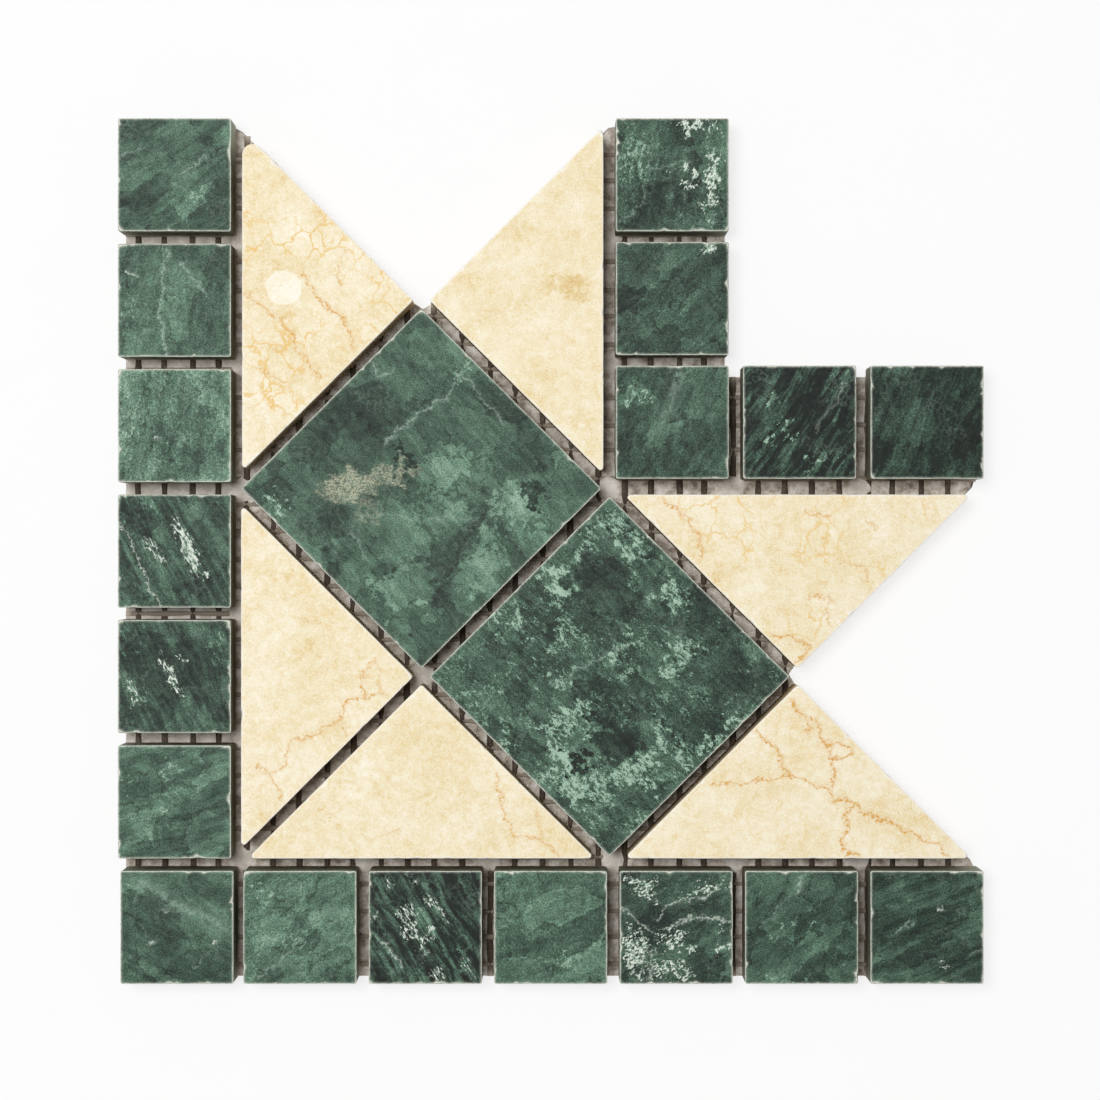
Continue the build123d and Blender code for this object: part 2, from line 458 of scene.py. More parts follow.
def cream_marble(name, centre, seed, look):
    """Material of one cream stone: soft clouds, pale fossils, golden veins and a fine golden web."""
    stone = Stone(name, centre, seed)
    nodes = stone.nodes
    mottled = nodes.vector("ADD", stone.seeded, stone.wobble(0.25, 6.0))
    tone = look.get("tone", 0.0) + 0.54
    tone = nodes.swing(tone, stone.grain(0.1, 4.0, 0.6), 0.7)
    tone = nodes.swing(tone, nodes.noise(mottled, 0.5, 5.0, 0.7), 1.0)
    tone = nodes.swing(tone, stone.grain(3.0, 4.0, 0.85), 1.5)
    for *place, strength in look.get("patches", []):
        tone = nodes.plus(tone, nodes.times(stone.patch(*place), strength))
    clear = 1.0  # share left open to the web: none on the discs
    for *place, strength in look.get("discs", []):
        disc = stone.patch(*place, core=0.94, rim=1.03, laid=stone.even)
        tone = nodes.plus(tone, nodes.times(disc, strength))
        clear = nodes.minus(clear, disc, clamp=True)
    colour = nodes.ramp(tone, CREAM_STOPS)

    sides = nodes.cell_side(nodes.vector("ADD", stone.seeded, stone.wobble(0.3, 5.0)), 0.2)
    here = nodes.times(nodes.smooth(stone.grain(0.09, 2.0), 0.42, 0.6), clear)
    web = nodes.times(nodes.smooth(sides, 0.0, 0.06, 1.0, 0.0), here)
    web = nodes.times(web, look.get("web", 0.35))
    colour = nodes.mix(nodes.times(web, GOLD_STRENGTH, clamp=True), colour, GOLD_WEB)
    vein = stone.veins(look.get("gold", []))
    colour = nodes.mix(nodes.times(vein, GOLD_STRENGTH, clamp=True), colour, GOLD_VEIN)
    colour = nodes.mix(stone.veins(look.get("pale", [])), colour, CREAM_STOPS[-1][1])
    specks = nodes.smooth(stone.grain(1.2, 2.0), 0.76, 0.82)
    colour = nodes.mix(nodes.times(specks, 0.5), colour, BROWN_SPECK)
    return stone.finish(colour, CREAM_ARRIS_WEAR_AND_HIGHLIGHT, CREAM_WALL)


# Stones' looks, read from the photograph: lengths in mm from the stone's middle, turns in degrees.
# A patch, plate, speck, crust or disc is x, y, half length, half width, turn, strength.
# A pale, white, gold or crack vein is width, strength, points.
# Tone lightens or darkens a whole stone, and turn is the way that its streaks run.
# Cloud, streak, grain and web are strengths, and a low stretch draws the flakes out.
# Flecked is the share of flakes, and breccia how unevenly they lie.
GREEN_LOOKS = {
    "left_square_6": {
        "tone": 0.02, "turn": 35,
        "patches": [(4.5, -4.3, 3, 2.4, 20, 0.2), (-7, -7, 5, 3, 40, -0.1)],
        "pale": [(0.5, 0.8, [(1.4, -0.2), (6.8, 3.7)]), (0.4, 0.5, [(-10.8, 3.4), (-6.3, 5.3)])],
    },
    "left_square_5": {
        "tone": 0.06, "turn": 80,
        "patches": [(-10.5, -2.4, 2, 6, 0, 0.15)],
        "pale": [
            (0.6, 0.8, [
                (-1.8, 10.7), (-1.4, 8), (-2.4, 4.8), (-1.8, 1.7), (-3, -2.4), (-2.4, -8.1),
                (-1.8, -10.7),
            ]),
            (0.4, 0.7, [(1, 7.4), (6.8, 0.9)]),
        ],
        "white": [(0.3, 0.9, [(-9.2, 6), (-8.1, 4.6)])],
    },
    "left_square_4": {
        "tone": 0.17, "flecked": 0.3, "grain": 0.55, "turn": 85,
        "patches": [(-9.4, 0, 3, 4, 0, 0.12), (7, -7, 5, 4, 0, -0.15)],
        "cracks": [(0.8, 0.4, [(1.9, 11), (1.9, -8.8)]), (0.7, 0.35, [(5.1, 9), (5.1, -7)])],
        "white": [(0.5, 0.9, [(-3, -2.7), (-3, -3.1)])],
    },
    "left_square_3": {
        "tone": -0.04, "turn": -60, "streak": 0.304, "stretch": 0.22,
        "patches": [(4, -7.3, 5, 1.6, 15, -0.2), (-7, 8, 5, 3, -60, 0.12)],
        "specks": [
            (-3.9, 0, 4.4, 1.5, -55, 0.65), (2.6, 0.6, 7.8, 1.65, -67, 0.95),
            (6.5, -4.8, 1, 0.7, -60, 0.9),
        ],
        "white": [
            (0.3, 0.8, [
                (-11.5, 6), (-10.2, 4.7), (-7.3, -1.5), (-6.2, -4.8), (-3.7, -10.2), (-2.9, -11.5),
            ]),
        ],
        "cracks": [(0.5, 0.6, [(5.8, 5.8), (9.1, 1.1)])],
    },
    "left_square_2": {
        "tone": -0.09, "turn": -65, "streak": 0.247, "stretch": 0.22,
        "patches": [
            (-8, -3.4, 4.3, 1.4, -70, 0.25), (-8, 7, 3, 5, 0, 0.15), (9, 6, 3, 4, 0, 0.15),
            (1, 0, 5, 9, 0, -0.06),
        ],
        "specks": [
            (-0.5, 0, 6.4, 1.1, -60, 0.8), (1.6, 3.7, 1.2, 0.6, -70, 0.9), (-8, -3, 3.6, 1.2, -70, 0.6),
        ],
    },
    "left_square_1": {
        "tone": 0.09, "turn": 15, "streak": 0.171,
        "patches": [
            (-0.4, 6.6, 3.2, 1.1, 20, 0.22), (0, 1.1, 2.4, 2, 0, 0.18), (-1.8, -3.3, 4.2, 2.4, 15, 0.16),
            (-9.1, 3.8, 2.5, 1, 0, 0.15),
        ],
        "cracks": [
            (0.5, 0.8, [(-11.3, 5.4), (-4.8, 6.2), (-0.4, 9.1), (0.7, 9.6)]),
            (1.5, 0.55, [(-11.3, -0.4), (-4.8, 1.8), (0.7, 4.3), (6.9, 5.8)]),
            (1.2, 0.4, [(-0.4, -8.4), (6.9, -7.3)]),
        ],
    },
    "bottom_square_1": {
        "tone": 0.02, "turn": -30,
        "patches": [(0, -8, 10, 6, 0, -0.08)],
        "pale": [
            (1.9, 0.4, [(-7.4, 9), (-3.8, 7.2), (0.2, 4.2), (5.7, 2.4), (9.3, -0.1)]),
            (0.4, 0.4, [(-8.5, 5.4), (-7.1, 8.7)]), (0.4, 0.4, [(-7.4, 0.2), (-5.6, -2)]),
            (0.4, 0.35, [(3.5, -8.2), (7.2, -4.9)]),
        ],
        "white": [
            (0.5, 1, [(-2.7, 3.4), (-2.5, 3.3)]), (0.5, 1, [(-4.6, -3.5), (-4.4, -3.4)]),
            (0.5, 1, [(8.1, -3.6), (8.1, -3.2)]),
        ],
    },
    "bottom_square_2": {
        "tone": 0.12, "turn": 35,
        "patches": [
            (-1, -2.7, 2.8, 2.2, 0, 0.16), (-6.5, -1.9, 2.2, 2, 0, 0.14), (-6.8, 6.4, 2.4, 2, 0, 0.16),
            (-4.6, 3.5, 2, 1.4, 0, -0.14), (7.4, -8.8, 3, 2, 0, -0.16),
        ],
        "pale": [
            (1, 0.4, [(-7.6, -10), (-2.4, -5.6), (0.1, -2.3)]), (0.5, 0.4, [(5.6, 0.6), (10.3, 3.2)]),
        ],
        "cracks": [
            (0.45, 0.9, [(-2.4, -6), (-0.6, -4.5), (1.2, -3.4), (2.7, -1.6), (4.1, -0.7)]),
            (0.5, 0.6, [(-2.8, -5.3), (-3.8, -3.4)]), (0.9, 0.7, [(4, -0.9), (4.4, -1.2)]),
        ],
    },
    "bottom_square_3": {
        "tone": -0.2, "turn": -58, "streak": 0.646, "stretch": 0.22,
        "patches": [(6, 8.9, 3, 2.5, 0, -0.2), (8.2, -5.3, 2, 2, 0, 0.25)],
        "specks": [
            (-2, -0.6, 7, 1.9, -62, 0.75), (2.2, 4.2, 4.5, 1, -50, 0.65), (-2.7, 10, 2.5, 1, -40, 0.5),
            (-7.1, 9.3, 2, 1, -60, 0.5), (2.4, -9, 2.5, 1.5, -40, 0.6), (8.6, -8.2, 2.5, 1.2, -60, 0.5),
            (-10.4, 2.4, 2, 0.8, 50, 0.5),
        ],
        "white": [(0.35, 0.7, [(-8.2, -3.1), (-4.9, -7.5)])],
        "cracks": [(1.2, 0.6, [(-8.9, 3.4), (-1.6, -8.2)]), (1, 0.5, [(3.5, 8.9), (7.1, -3.1)])],
    },
    "bottom_square_4": {
        "tone": 0.08, "turn": 20, "streak": 0.095,
        "patches": [
            (-10, 2, 2.5, 9, 0, 0.12), (-6.6, -4.6, 4, 2, 0, -0.14), (2.1, -7.5, 3, 1.6, -15, -0.14),
            (4.3, -6, 2, 1.2, -10, 0.2), (10, 2, 2, 6, 0, -0.1),
        ],
        "cracks": [(0.4, 0.6, [(-9.2, 8), (-7.3, 6.6)])],
    },
    "bottom_square_5": {
        "tone": -0.11, "turn": 30,
        "specks": [
            (-8.2, -5.2, 6, 2.7, 90, 0.85), (5.7, 7.7, 5.2, 2, 20, 0.8), (0.1, -3, 4, 2, 0, 0.8),
            (-7.1, 7.9, 3.5, 2.5, 0, 0.8), (9.2, -3.5, 2, 1.8, 0, 0.9), (-1.3, -8.8, 5, 2, 0, 0.8),
        ],
        "white": [
            (0.4, 0.7, [(-1.8, -0.3), (0.9, 1), (4.1, 2.1), (7.3, 2.1), (10.5, 1.3)]),
            (0.4, 0.7, [(-4.5, 1.3), (-1.8, 4.5), (4.1, 5.9), (8.9, 7.7)]),
            (0.4, 0.7, [(-11.4, 4.5), (-7.7, 0.8), (-5, -0.3)]),
            (0.4, 0.6, [(-3.9, -4.1), (-5, -6.8), (-5.5, -10.5)]),
        ],
        "cracks": [
            (1.6, 0.5, [(-11.4, 6.5), (-4.8, 0.8), (-6.2, -10)]),
            (1.5, 0.5, [(-4, 0.5), (-1, 3.3), (5, 4), (11, 5)]),
        ],
    },
    "bottom_square_6": {
        "tone": -0.01, "turn": 40, "streak": 0.114,
        "patches": [
            (-4, 0.7, 1.5, 2.4, 0, 0.25), (2.2, 1.3, 1.4, 1.4, 0, 0.25), (7.5, -5.2, 3.5, 3, 0, 0.15),
            (-2.1, -10.5, 4, 1.6, 0, 0.2),
        ],
        "pale": [
            (0.7, 0.95, [(0, 10.8), (-0.5, 6.6)]), (0.4, 0.4, [(-8.5, 0.2), (-5.8, 2.3), (-2.6, 6.1)]),
        ],
    },
    "bottom_square_7": {
        "tone": -0.08, "turn": 20, "streak": 0.228,
        "specks": [(3.5, -7.3, 1.8, 1, 30, 0.4)],
        "pale": [(0.4, 0.6, [(-6.1, -1.1), (-2.9, 1.3)]), (0.4, 0.5, [(8.9, -5.7), (11.5, -3.8)])],
        "white": [(0.45, 1, [(2.9, 3.6), (3.1, 3.9)])],
        "cracks": [(1.6, 0.45, [(-9.9, -7.3), (-1.3, -6.2), (6.7, -3), (11.5, -4.1)])],
    },
    "inner_corner_square": {
        "tone": 0.01, "turn": 60,
        "patches": [(-6.5, 5.5, 2.6, 2, 20, 0.28), (-7, -7, 5, 4, 0, -0.12)],
        "pale": [(1.6, 0.35, [(-2.2, -0.4), (2.1, 9.8)])],
    },
    "inner_right_square_1": {
        "tone": -0.3, "turn": 57, "streak": 0.684, "stretch": 0.16,
        "patches": [(-2.7, -2.1, 3.4, 1.3, 55, 0.5), (4, -8, 4, 1.2, 50, 0.35), (-6, 5, 4, 1, 55, 0.3)],
        "white": [(0.3, 0.7, [(3.2, -1.5), (9.8, 8.3)])],
        "cracks": [(1, 0.8, [(0.6, -5.3), (7.7, 5.5)])],
    },
    "inner_right_square_2": {
        "tone": -0.24, "turn": 70, "streak": 0.266,
        "cracks": [(0.5, 0.8, [(5.6, -0.4), (9.9, -2.1), (11.5, -3.7)])],
    },
    "inner_top_square_1": {
        "tone": -0.1, "turn": 45,
        "patches": [(0.7, -3, 3.2, 3, 0, 0.12)],
        "specks": [(7.6, 9.9, 2, 1.2, 0, 0.85)],
        "cracks": [
            (0.5, 0.8, [(0.7, 7.2), (2.7, 4), (6.6, 1.3)]), (0.45, 0.7, [(-11.6, 1.3), (-8.1, -0.9)]),
        ],
    },
    "inner_top_square_2": {
        "tone": -0.03, "flecked": 0.35, "turn": 70,
        "patches": [(-7, 3, 4, 7, 0, 0.14), (-2.2, -3.1, 3, 3, 0, -0.16)],
        "specks": [(5.3, 10.3, 4.8, 1.8, 0, 1), (8.2, -1.7, 7.5, 1.75, 90, 1), (3.3, -0.4, 2, 1.8, 0, 1)],
        "pale": [
            (0.4, 0.5, [(-4.2, 7.7), (-4.8, 0.2), (-5.7, -4.7)]), (0.4, 0.5, [(-4.2, 0.8), (3.7, 3.2)]),
            (0.4, 0.5, [(-10.3, -9), (-5.7, -5.7)]),
        ],
    },
    "green_diamond_upper": {
        "tone": 0.03, "turn": -50,
        "patches": [
            (-13, 14.3, 15, 7, 45, -0.1), (-17.2, -9.3, 9, 3.5, -45, -0.12), (7, 12.3, 5, 4, -40, -0.06),
            (-29.2, -3.3, 3, 2.2, 0, 0.3), (9, 24, 2.6, 1.4, 30, 0.25),
        ],
        "plates": [
            (4, 3.8, 6, 4.5, 30, 0.2), (19, -3.3, 6, 3.5, -40, 0.24), (-3, -20, 7, 4.5, 25, 0.24),
            (12, -16.9, 6, 4.5, 40, 0.18), (13, -9.3, 3, 2.2, 50, 0.2), (4.5, -5.8, 6, 4, -20, 0.16),
            (22.6, -0.3, 3.4, 2, -50, -0.32), (-3, 6.3, 2.2, 1.6, 0, -0.28),
        ],
        "crusts": [
            (-13.6, 0.4, 7.6, 3.2, 10, 0.95), (-5.5, 2.8, 4.8, 1.8, 20, 0.8),
            (-11.2, -4.4, 3.4, 2.4, 0, 0.4),
        ],
        "pale": [
            (0.6, 0.7, [(-7.1, 8.8), (-4.1, 12.3), (1, 15.9), (5.5, 18.4), (7.5, 23.4)]),
            (0.6, 0.6, [(7.5, 23.4), (9.5, 21.4), (13.5, 16.9), (17, 12.8)]),
            (0.4, 0.5, [(-12.1, -5.8), (-6.1, -5.3), (-2, -6.3)]),
            (0.4, 0.5, [(2, -6.3), (8, -6), (11, -5.8)]),
            (0.8, 0.6, [(-10.1, 24.9), (-8.6, 22.4), (-6.1, 23.4)]),
            (0.4, 0.5, [(-13.6, -8.8), (-11.1, -14.8)]),
        ],
        "cracks": [
            (2.6, 0.75, [(13, -0.8), (13, -4.8), (9.5, -9.8), (6.5, -15.9), (3, -23.4)]),
            (1.5, 0.7, [(14, -4.8), (18, -9.8), (20.6, -13.8)]),
            (0.5, 0.9, [(-8.6, -18.6), (-5.6, -16.4), (-2.6, -14.9), (0, -15.6), (4.5, -15.4)]),
            (0.5, 0.9, [(9.8, -14.1), (13, -13.1), (15.6, -12.8)]),
            (0.45, 0.85, [(11, -9.3), (8, -16.4), (5, -20.9), (2, -23.9)]),
            (0.4, 0.5, [(3, 17.4), (7.5, 19.9), (10, 19.6)]),
            (0.4, 0.5, [(-2.6, 1.3), (0, -6.8), (1, -9.8)]),
        ],
    },
    "green_diamond_lower": {
        "tone": -0.03, "turn": -45, "streak": 0.152, "cloud": 0.24, "flecked": 0.36, "breccia": 2.2,
        "patches": [
            (0.6, 31.1, 5, 4, 0, 0.2), (4.4, 26.3, 3, 2.5, 0, 0.35), (-5, 27.4, 2.5, 1.5, 0, 0.25),
            (-10.5, 18.2, 4.5, 2.8, -50, 0.36), (-9.3, 9.7, 4, 3, 0, 0.2), (-12.2, 5.6, 2.2, 1.6, 0, 0.3),
            (12.3, 16, 4, 3.2, -40, 0.35), (4.4, 7.3, 4.5, 1.2, 40, 0.28), (15, 5.6, 4.5, 2, -20, 0.28),
            (12, 1.2, 3, 1.5, 0, 0.32), (-9.5, -0.9, 3, 0.8, 25, 0.26), (-6.3, -6.5, 5, 2, 30, 0.25),
            (-12.2, -9, 2.4, 1.8, 0, 0.38), (-10.6, -14.2, 5, 1.8, -75, 0.36),
            (-7.2, -22.5, 5, 2.6, -60, 0.38), (-4.1, -24.1, 4, 2.2, 0, 0.34), (1.1, -21, 5, 2, 20, 0.32),
            (6.3, -17.9, 3.5, 2.8, 50, 0.38), (8.4, -22.5, 2, 1.5, 0, 0.3), (-6.7, -10, 3.5, 2.5, 0, 0.2),
            (10.5, -13.2, 1.6, 2.6, 0, 0.34), (14.6, -16.8, 3.5, 1.6, -50, 0.25),
            (24.5, -9.5, 2.6, 2, 0, 0.36), (20.9, -14, 2, 1.6, 0, 0.36), (-21.6, 11.8, 2.5, 1, -60, 0.18),
            (-16, 12.3, 2, 2, 0, 0.18), (-20.5, -13.2, 1.6, 1.2, 0, 0.25), (22, 10.8, 3.5, 1, 25, 0.14),
            (27, 0, 7, 6, 0, -0.1), (19.3, 16.5, 4, 3, 0, -0.1), (-14.5, -14.7, 3, 5, 0, -0.08),
            (-18, 17.5, 4, 3, 0, -0.08),
        ],
        "plates": [
            (-0.5, 17.5, 8.5, 5.6, -45, -0.24), (1.1, -13.2, 4.2, 4.6, -30, -0.24),
            (-4.6, -8.8, 2, 1.2, 30, -0.4), (-6.7, -17, 2.5, 1.2, -10, -0.52),
        ],
        "pale": [(0.5, 0.6, [(-12.1, -1.7), (-8.1, 0.3), (4, 6.7)])],
        "cracks": [
            (0.6, 0.85, [(-6.2, 24.8), (1.1, 23.2), (6.4, 21.8)]), (1, 0.5, [(-5, 22), (0, 17), (4, 13)]),
        ],
    },
}
CREAM_LOOKS = {
    "cream_triangle_left_upper": {
        "web": 0.6,
        "discs": [(-8.3, 2.5, 3.7, 3.5, 0, 0.32)],
        "patches": [(-7, 14, 5, 3.5, 0, 0.14), (-2, 12, 3, 3, 0, 0.1)],
        "gold": [
            (0.6, 0.7, [(-4.4, 4.8), (-1.2, 0.7), (1.3, -2), (4.3, -4.4), (5.3, -7.9), (5.8, -9.5)]),
            (0.6, 0.6, [
                (-15.7, 1.3), (-13, -1.1), (-9.3, -3.4), (-6.9, -6.7), (-5.7, -9.7), (-3.4, -12.8),
                (-1, -15.6),
            ]),
            (0.5, 0.5, [(4.7, 10.1), (3.1, 7.4), (2.9, 2.7)]),
            (0.5, 0.5, [(-13.6, -13.8), (-10, -15.2), (-7.9, -17.1)]),
        ],
        "pale": [(0.7, 0.6, [(-15.1, -16.2), (-13, -19.5), (-11, -26.4)])],
    },
    "cream_triangle_left_lower": {
        "web": 0.15, "tone": 0.03,
        "patches": [(-10, 22, 4, 3, 0, -0.15), (-2, 11, 4, 2.4, 0, -0.12)],
        "gold": [
            (0.5, 0.6, [(10.3, 3.2), (8, 0.6), (7.2, -1.7), (7.8, -3.8)]),
            (0.4, 0.4, [(7.8, -3.8), (9.8, -4.1), (11.4, -1.2), (10.9, 2), (10.3, 3.2)]),
            (0.6, 0.7, [(11.9, -3.3), (7.8, -4.3), (4.1, -5.4), (3.3, -8.2), (2, -9.8), (-3.2, -11.6)]),
            (0.5, 0.6, [
                (-3.2, -11.6), (-6.3, -13.1), (-7.9, -15.5), (-8.1, -17.9), (-11, -19.4), (-13.9, -17.8),
            ]),
            (0.5, 0.6, [(-11, -19.9), (-8.4, -24.3), (-9.2, -25.1)]),
            (0.4, 0.5, [(2.5, -9), (4.6, -12.1)]),
        ],
    },
    "cream_triangle_top_inner": {
        "web": 0.1,
        "patches": [(9.4, 3.3, 5.5, 2.8, 0, -0.28), (13.1, -25, 2, 3, 0, -0.2)],
        "pale": [(0.5, 0.5, [(-10.3, 5.9), (1.6, 8)])],
    },
    "cream_triangle_right_inner": {
        "web": 0.45, "tone": 0.03,
        "patches": [(-20, 8, 4, 5, 0, -0.15), (-14, 0, 6, 3, -45, -0.12), (10, 8, 5, 3, 0, -0.12)],
        "gold": [
            (0.6, 0.7, [
                (-27.4, 16.7), (-23.5, 13.6), (-21.4, 11), (-20.3, 8.9), (-19.3, 5.8), (-19.8, 3.9),
            ]),
            (0.5, 0.6, [(1.5, 14.6), (3.6, 12.8), (6.7, 12.8)]), (0.5, 0.5, [(14.5, 12.5), (16.1, 10)]),
            (0.5, 0.5, [(8.8, 3.4), (13, 2.6), (14, -0.4)]),
            (0.5, 0.5, [(2.6, -3.4), (7.2, -3.6), (5.7, -6.2), (7, -9.3)]),
            (0.6, 0.7, [(-5.2, -11.2), (-1.6, -11.2), (2.6, -13.5), (1, -15.1), (-0.6, -17.7)]),
        ],
    },
    "cream_triangle_bottom_left": {
        "web": 0.12,
        "patches": [(-12, -1.1, 4, 4, 0, 0.2), (-19.1, -8.6, 1.2, 1.6, 0, -0.3)],
        "gold": [
            (0.5, 0.6, [
                (15.4, -0.8), (15.1, -2.1), (16.4, -5.6), (17.4, -9.7), (18.9, -12.5), (24.5, -13.7),
            ]),
            (0.5, 0.5, [(24.5, -13.7), (28.6, -17.1)]),
            (0.4, 0.4, [(23, -7.6), (24.5, -10.7), (24.5, -13.7)]),
            (0.4, 0.3, [(-8.5, -13.2), (-2.9, -11.2)]),
        ],
    },
    "cream_triangle_bottom_right": {
        "web": 0.2, "tone": 0.03,
        "gold": [
            (0.6, 0.8, [(-1.3, 15), (0, 12.4), (2, 10.6), (2.3, 8.7)]),
            (0.6, 0.8, [(-7.9, 8.5), (-6.3, 6.4), (-4.7, 4.8), (-3.2, 2.8), (-1.9, -0.4)]),
            (0.45, 0.7, [(-1.9, -0.4), (-6.8, -1.7), (-12.5, -1.7), (-17.8, -2.2)]),
            (0.45, 0.7, [(-1.9, -0.4), (3.6, -2.2), (6.7, -4)]),
            (0.6, 0.8, [(2.6, 10.8), (4.7, 9.3), (4.7, 6.7), (6.7, 5.1), (6.7, 2.5), (7.2, -2.7)]),
            (0.6, 0.8, [(6.7, 5.5), (9.3, 6.1), (11.3, 4.5), (9.3, 3), (7.2, 2.5)]),
            (0.6, 0.9, [
                (7.2, -5.6), (9.3, -5.3), (10.9, -6.6), (14, -8.4), (18.7, -10.3), (22.9, -11.6),
            ]),
            (0.5, 0.8, [(22.9, -11.6), (27, -14.1), (29.1, -14.7), (30.9, -17.6)]),
            (0.6, 0.9, [(10.9, -6.6), (9.1, -9), (10.4, -11.6), (8.8, -13.1), (9.3, -15), (11.7, -17)]),
        ],
    },
}


# Shapes


class Shape:
    """Collects closed shapes into one piece. Each is a stack of rings of points: x, y, z, mark."""

    def __init__(self, mark_name, smooth_caps):
        self.mark_name = mark_name  # the point attribute that takes the marks
        self.smooth_caps = smooth_caps
        self.verts, self.marks = [], []
        self.faces, self.smooth, self.kinds = [], [], []

    def loft(self, rings, kind=0, flip=False):
        """Adds one closed shape through its rings, with a cap at both ends. Flip turns its faces round."""
        first, count = len(self.verts), len(rings[0])
        for ring in rings:
            for x, y, z, mark in ring:
                self.verts.append((x * MM, y * MM, z * MM))
                self.marks.append(mark)
        last = first + (len(rings) - 1) * count
        faces = [tuple(reversed(range(first, first + count)))]
        for a in range(first, last, count):
            b = a + count
            for i in range(count):
                j = (i + 1) % count
                faces.append((a + i, a + j, b + j, b + i))
        faces.append(tuple(range(last, last + count)))
        self.faces += [tuple(reversed(face)) for face in faces] if flip else faces
        self.smooth += [self.smooth_caps] + [True] * (len(faces) - 2) + [self.smooth_caps]
        self.kinds += [kind] * len(faces)

    def make(self, name, materials, replaced):
        """The finished piece, on the body and in place of its CAD nodes."""
        mesh = bpy.data.meshes.new(name)
        mesh.from_pydata(self.verts, [], self.faces)
        for material in materials:
            mesh.materials.append(material)
        mesh.polygons.foreach_set("use_smooth", self.smooth)
        mesh.polygons.foreach_set("material_index", self.kinds)
        mesh.attributes.new(self.mark_name, "FLOAT", "POINT").data.foreach_set("value", self.marks)
        mesh.update()
        piece = bpy.data.objects.new(name, mesh)
        bpy.context.scene.collection.objects.link(piece)
        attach(piece, "root")
        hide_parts(*replaced)


# Stones

SHORT_SIDE = 2  # sides of a footprint under this length, in mm, are cut-off corners
ARC_STEPS = 6  # steps round a corner
EDGE_STEP = 0.4  # mm between points along a stone's edge
ARRIS = 0.2  # usual size of the worn arris
WORST_CHIP = 0.95  # the arris is never worn further than this
DEEPEST = 1.5  # inset used to find the way in from each edge point

# Stones a little smaller than their places, in mm: cut back on the left side, and a top tip worn round
LEFT_TRIMS = {"cream_triangle_left_upper": 0.55, "cream_triangle_left_lower": 0.35}
WORN_TIPS = {"cream_triangle_left_upper": 2.2}


def convex_corners(node):
    """The corners of a stone's footprint, in mm, in order round its middle."""
    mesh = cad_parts[node].data
    floor = min(v.co.z for v in mesh.vertices)
    found = []
    for vertex in mesh.vertices:
        spot = (round(vertex.co.x / MM, 3), round(vertex.co.y / MM, 3))
        if vertex.co.z < floor + 0.05 * MM and spot not in found:
            found.append(spot)
    middle = Vector((sum(x for x, y in found), sum(y for x, y in found))) / len(found)
    return sorted((Vector(p) for p in found), key=lambda p: math.atan2(p.y - middle.y, p.x - middle.x))


def crossing(a, b, c, d):
    """Where the line through a and b meets the line through c and d."""
    along, other = b - a, d - c
    share = (c - a).cross(other) / along.cross(other)
    return a + along * share


def sharp_corners(corners):
    """The outline without its short cut-off corners: the long sides run on until they meet."""
    count = len(corners)
    kept = []
    for i, corner in enumerate(corners):
        after = corners[(i + 1) % count]
        if (after - corner).length < SHORT_SIDE:
            kept.append(crossing(corners[i - 1], corner, after, corners[(i + 2) % count]))
        elif (corner - corners[i - 1]).length >= SHORT_SIDE:
            kept.append(corner)
    return kept


def trimmed(corners, trim):
    """The corners of a triangle whose upright left side is moved in, between its two slanting sides."""
    left = min(c.x for c in corners)
    middle = sum(c.y for c in corners) / len(corners)
    moved = []
    for corner in corners:
        on_side = corner.x < left + 0.01
        inward = trim if corner.y < middle else -trim
        moved.append(corner + Vector((trim, inward)) if on_side else corner)
    return moved


def inset_corners(corners, amount):
    """The corners of the same outline, every side moved in by the amount."""
    moved = []
    count = len(corners)
    for i, corner in enumerate(corners):
        before = (corner - corners[i - 1]).normalized()
        after = (corners[(i + 1) % count] - corner).normalized()
        inward = (Vector((-before.y, before.x)) + Vector((-after.y, after.x))).normalized()
        lean = inward.dot(Vector((-before.y, before.x)))
        moved.append(corner + inward * (amount / lean))
    return moved


def rounded(corners, radii, steps):
    """Points along an outline with each corner rounded. Each side gets its number of steps."""
    count = len(corners)
    arcs = []
    for i, (corner, radius) in enumerate(zip(corners, radii)):
        to_last = (corners[i - 1] - corner).normalized()
        to_next = (corners[(i + 1) % count] - corner).normalized()
        half = math.acos(max(-1, min(1, to_last.dot(to_next)))) / 2
        middle = corner + (to_last + to_next).normalized() * (radius / math.sin(half))
        first = corner + to_last * (radius / math.tan(half)) - middle
        sweep = math.pi - 2 * half
        arc = []
        for k in range(ARC_STEPS + 1):
            cosine = math.cos(sweep * k / ARC_STEPS)
            sine = math.sin(sweep * k / ARC_STEPS)
            turn = Vector((first.x * cosine - first.y * sine, first.x * sine + first.y * cosine))
            arc.append(middle + turn)
        arcs.append(arc)
    points = []
    for i, arc in enumerate(arcs):
        points.extend(arc)
        start, end = arc[-1], arcs[(i + 1) % count][0]
        for k in range(1, steps[i]):
            points.append(start.lerp(end, k / steps[i]))
    return points


def chip_sizes(points, seed):
    """How far the arris is worn back at each edge point: uneven everywhere, with a few small chips."""
    rng = random.Random(seed)
    chips = []
    for _ in range(rng.randint(9, 14)):
        chips.append((rng.choice(points), rng.uniform(0.25, 0.9), rng.uniform(0.12, 0.5)))
    sizes = []
    for p in points:
        uneven = noise.noise(Vector((p.x * 0.8, p.y * 0.8, seed))) * 0.35
        fine = noise.noise(Vector((p.x * 2.3, p.y * 2.3, seed + 50))) * 0.3
        size = ARRIS * (1 + uneven + fine)
        for place, width, depth in chips:
            size += depth * math.exp(-(((p - place).length / width) ** 2))
        sizes.append(min(size, WORST_CHIP))
    return sizes


